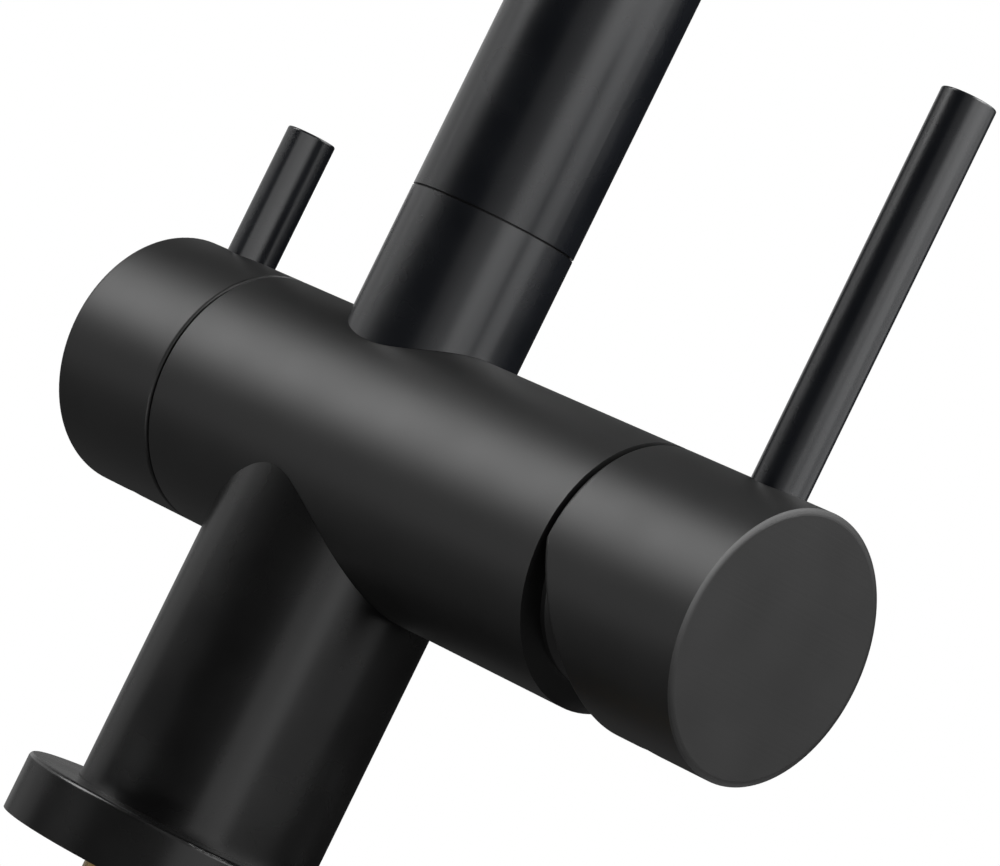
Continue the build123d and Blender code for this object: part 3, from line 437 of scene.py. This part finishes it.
# Hexagons merged into one sheet, each inset, its middle opened and the web deepened.
def makeHoneycomb(look):
    comb = bmesh.new()
    corner = look["cell"] / math.sqrt(3)
    margin = look["margin"] * corner
    rowPitch = look["cell"] * math.sqrt(3) / 2
    reach = math.ceil(look["outer"] / rowPitch)
    for row in range(-reach, reach + 1):
        for column in range(-reach, reach + 1):
            x = (column + 0.5 * (row % 2)) * look["cell"]
            y = row * rowPitch
            if look["bore"] + margin < math.hypot(x, y) < look["outer"] - margin:
                middle = (look["centre"][0] + x, look["centre"][1] + y, look["bottom"] + look["recess"])
                bmesh.ops.create_circle(comb, cap_ends=True, segments=6, radius=corner,
                                        matrix=Matrix.Translation(middle))
    bmesh.ops.remove_doubles(comb, verts=comb.verts, dist=corner * look["weld"])
    cells = comb.faces[:]
    bmesh.ops.inset_individual(comb, faces=cells, thickness=look["wall"] / 2)
    bmesh.ops.delete(comb, geom=cells, context="FACES_ONLY")
    web = bmesh.ops.extrude_face_region(comb, geom=comb.faces[:])["geom"]
    bmesh.ops.translate(comb, verts=vertsOf(web), vec=(0, 0, look["cellDepth"]))
    bmesh.ops.recalc_face_normals(comb, faces=comb.faces)
    return comb


# The aerator's screen in the outlet: a rim, a hub round the filtered water's nozzle and the comb.
def makeScreen(look):
    bm = bmesh.new()
    lower = look["bottom"]
    upper = look["top"]
    bevel = look["bevel"]
    addMesh(bm, spinProfile([(look["rim"], lower + bevel), (look["rim"] + bevel, lower),
                             (look["outer"], lower), (look["outer"], upper), (look["rim"], upper)], look))
    addMesh(bm, spinProfile([(look["bore"], lower), (look["hub"] - bevel, lower),
                             (look["hub"], lower + bevel), (look["hub"], upper), (look["bore"], upper)],
                            look))
    addMesh(bm, makeHoneycomb(look))
    placePiece(bm, "aeratorScreen", acetal, "spout", "aerator_insert")


makeScreen(screenLook)
print("aerator screen made")

# pale paper that fades out at its edge
floorLook = {
    "height": -0.0702, "centreY": -0.06, "radius": 0.45, "solid": 0.30, "segments": 96,
    "colour": "#f4f4f4", "roughness": 0.9,
}


def makeFloor(look):
    bm = bmesh.new()
    bmesh.ops.create_circle(bm, cap_ends=True, segments=look["segments"], radius=look["radius"],
                            matrix=Matrix.Translation((0, look["centreY"], look["height"])))
    mesh = bpy.data.meshes.new("floor")
    bm.to_mesh(mesh)
    bm.free()
    floor = bpy.data.objects.new("floor", mesh)
    bpy.context.scene.collection.objects.link(floor)
    material, tree = newMaterial("paleFloor")
    place = addNode(tree, "ShaderNodeTexCoord").outputs["Object"]
    centred = addNode(tree, "ShaderNodeMapping", {"Location": (0, -look["centreY"], 0)}, {"Vector": place})
    flat = addNode(tree, "ShaderNodeVectorMath", {"operation": "MULTIPLY"}, {0: centred.outputs[0]})
    flat.inputs[1].default_value = (1, 1, 0)
    reach = addNode(tree, "ShaderNodeVectorMath", {"operation": "LENGTH"}, {0: flat.outputs[0]})
    fade = addNode(tree, "ShaderNodeMapRange",
                   {"From Min": look["solid"], "From Max": look["radius"], "To Min": 1.0, "To Max": 0.0,
                    "interpolation_type": "SMOOTHSTEP"}, {"Value": reach.outputs["Value"]})
    shader = addNode(tree, "ShaderNodeBsdfPrincipled",
                     {"Roughness": look["roughness"], "Base Color": linearColour(look["colour"])},
                     {"Alpha": fade.outputs["Result"]})
    addNode(tree, "ShaderNodeOutputMaterial", links={"Surface": shader.outputs[0]})
    floor.data.materials.append(material)
    floor.visible_glossy = False
    floor.visible_diffuse = False
    floor.visible_shadow = False


makeFloor(floorLook)

# Soft boxes round the tap. Azimuth 0 is on the user's side, 90 is on the mixer's side. Sizes are in
# metres, and brightness is in units of the white background.
lampAim = Vector((0.0, 0.0, 0.09))
lampDistance = 3.0
softboxes = {
    "keyLeft": {"azimuth": -48, "elevation": 31, "size": (1.1, 2.07), "brightness": 7.9},
    "sideRight": {"azimuth": 108, "elevation": 31, "size": (4.8, 2.07), "brightness": 3.0},
    "topRight": {"azimuth": 108, "elevation": 57, "size": (1.6, 1.6), "brightness": 12.0},
    "lowRight": {"azimuth": 90, "elevation": 12, "size": (3.8, 1.28), "brightness": 1.4},
    "frontRight": {"azimuth": 48, "elevation": 32, "size": (3.2, 3.8), "brightness": 0.4},
    "belowRight": {"azimuth": 54, "elevation": -6, "size": (1.8, 0.63), "brightness": 1.2},
    "sideLeft": {"azimuth": -96, "elevation": 18, "size": (3.7, 1.95), "brightness": 0.35},
    "rearLeft": {"azimuth": -124, "elevation": 1, "size": (2.0, 1.1), "brightness": 0.3},
    "lowLeft": {"azimuth": -84, "elevation": 6, "size": (1.8, 1.95), "brightness": 0.3},
    "belowKey": {"azimuth": -60, "elevation": 6, "size": (1.3, 0.63), "brightness": 0.7},
    "belowLeft": {"azimuth": -36, "elevation": -18.5, "size": (1.2, 0.68), "brightness": 2.0},
    "belowFront": {"azimuth": 12, "elevation": -32, "size": (1.1, 0.8), "brightness": 7.0},
    "belowRear": {"azimuth": 156, "elevation": -26, "size": (1.15, 1.5), "brightness": 1.2},
    "rearFill": {"azimuth": 186, "elevation": 50, "size": (2.4, 1.6), "brightness": 2.5},
    # these three light one piece each
    "leverFront": {"azimuth": 26, "elevation": 4, "size": (4.2, 1.2), "brightness": 2.0,
                   "lights": "filter_lever"},
    "leverSide": {"azimuth": 130, "elevation": 4, "size": (5.4, 1.2), "brightness": 1.0,
                  "lights": "mixer_lever"},
    "rimRight": {"azimuth": 88, "elevation": 15, "size": (1.2, 1.4), "brightness": 6.0,
                 "lights": "mixer_handle"},
}


def makeSoftbox(name, look):
    azimuth = math.radians(look["azimuth"])
    elevation = math.radians(look["elevation"])
    away = Vector((math.sin(azimuth) * math.cos(elevation), -math.cos(azimuth) * math.cos(elevation),
                   math.sin(elevation)))
    lamp = bpy.data.lights.new(name, "AREA")
    lamp.shape = "RECTANGLE"
    lamp.size, lamp.size_y = look["size"]
    lamp.energy = look["brightness"] * math.pi * lamp.size * lamp.size_y
    box = bpy.data.objects.new(name, lamp)
    bpy.context.scene.collection.objects.link(box)
    box.location = lampAim + away * lampDistance
    box.rotation_mode = "QUATERNION"
    box.rotation_quaternion = (-away).to_track_quat("-Z", "Y")
    box.visible_camera = False
    if "lights" in look:
        only = bpy.data.collections.new(name)
        only.objects.link(nodes[look["lights"]])
        box.light_linking.receiver_collection = only


for name, look in softboxes.items():
    makeSoftbox(name, look)

# The camera sees white paper. The tap sees a near black room that is a little lighter below. The
# fade runs between two heights on the unit sphere of directions.
worldLook = {
    "white": "#ffffff", "paper": 1.0, "below": 0.14, "above": 0.01, "fadeFrom": -0.40, "fadeTo": -0.25,
}


def makeWorld(look):
    world = bpy.data.worlds.new("studio")
    bpy.context.scene.world = world
    world.use_nodes = True
    tree = world.node_tree
    tree.nodes.clear()
    white = linearColour(look["white"])
    cameraRays = addNode(tree, "ShaderNodeLightPath").outputs["Is Camera Ray"]
    direction = addNode(tree, "ShaderNodeTexCoord").outputs["Generated"]
    height = addNode(tree, "ShaderNodeSeparateXYZ", links={0: direction}).outputs["Z"]
    glow = addNode(tree, "ShaderNodeMapRange",
                   {"From Min": look["fadeFrom"], "From Max": look["fadeTo"],
                    "To Min": look["below"], "To Max": look["above"]}, {"Value": height})
    room = addNode(tree, "ShaderNodeBackground", {"Color": white}, {"Strength": glow.outputs["Result"]})
    paper = addNode(tree, "ShaderNodeBackground", {"Color": white, "Strength": look["paper"]})
    seen = addNode(tree, "ShaderNodeMixShader",
                   links={0: cameraRays, 1: room.outputs[0], 2: paper.outputs[0]})
    addNode(tree, "ShaderNodeOutputWorld", links={"Surface": seen.outputs[0]})


makeWorld(worldLook)
bpy.context.scene.view_settings.view_transform = "Standard"

cameraLook = {
    "place": (0.56766, -0.58707, 0.06818), "azimuth": 42.808, "pitch": 2.037, "roll": 26.122,
    "lens": 166.377, "sensor": 36.0, "clip": (0.01, 20.0),
}


def makeCamera(look):
    lens = bpy.data.cameras.new("camera")
    lens.lens = look["lens"]
    lens.sensor_width = look["sensor"]
    lens.clip_start, lens.clip_end = look["clip"]
    camera = bpy.data.objects.new("camera", lens)
    bpy.context.scene.collection.objects.link(camera)
    turn = Matrix.Rotation(math.radians(look["azimuth"]), 4, "Z")
    turn = turn @ Matrix.Rotation(math.radians(90 + look["pitch"]), 4, "X")
    turn = turn @ Matrix.Rotation(math.radians(look["roll"]), 4, "Z")
    camera.matrix_world = Matrix.Translation(look["place"]) @ turn
    bpy.context.scene.camera = camera


makeCamera(cameraLook)
print("stage ready")
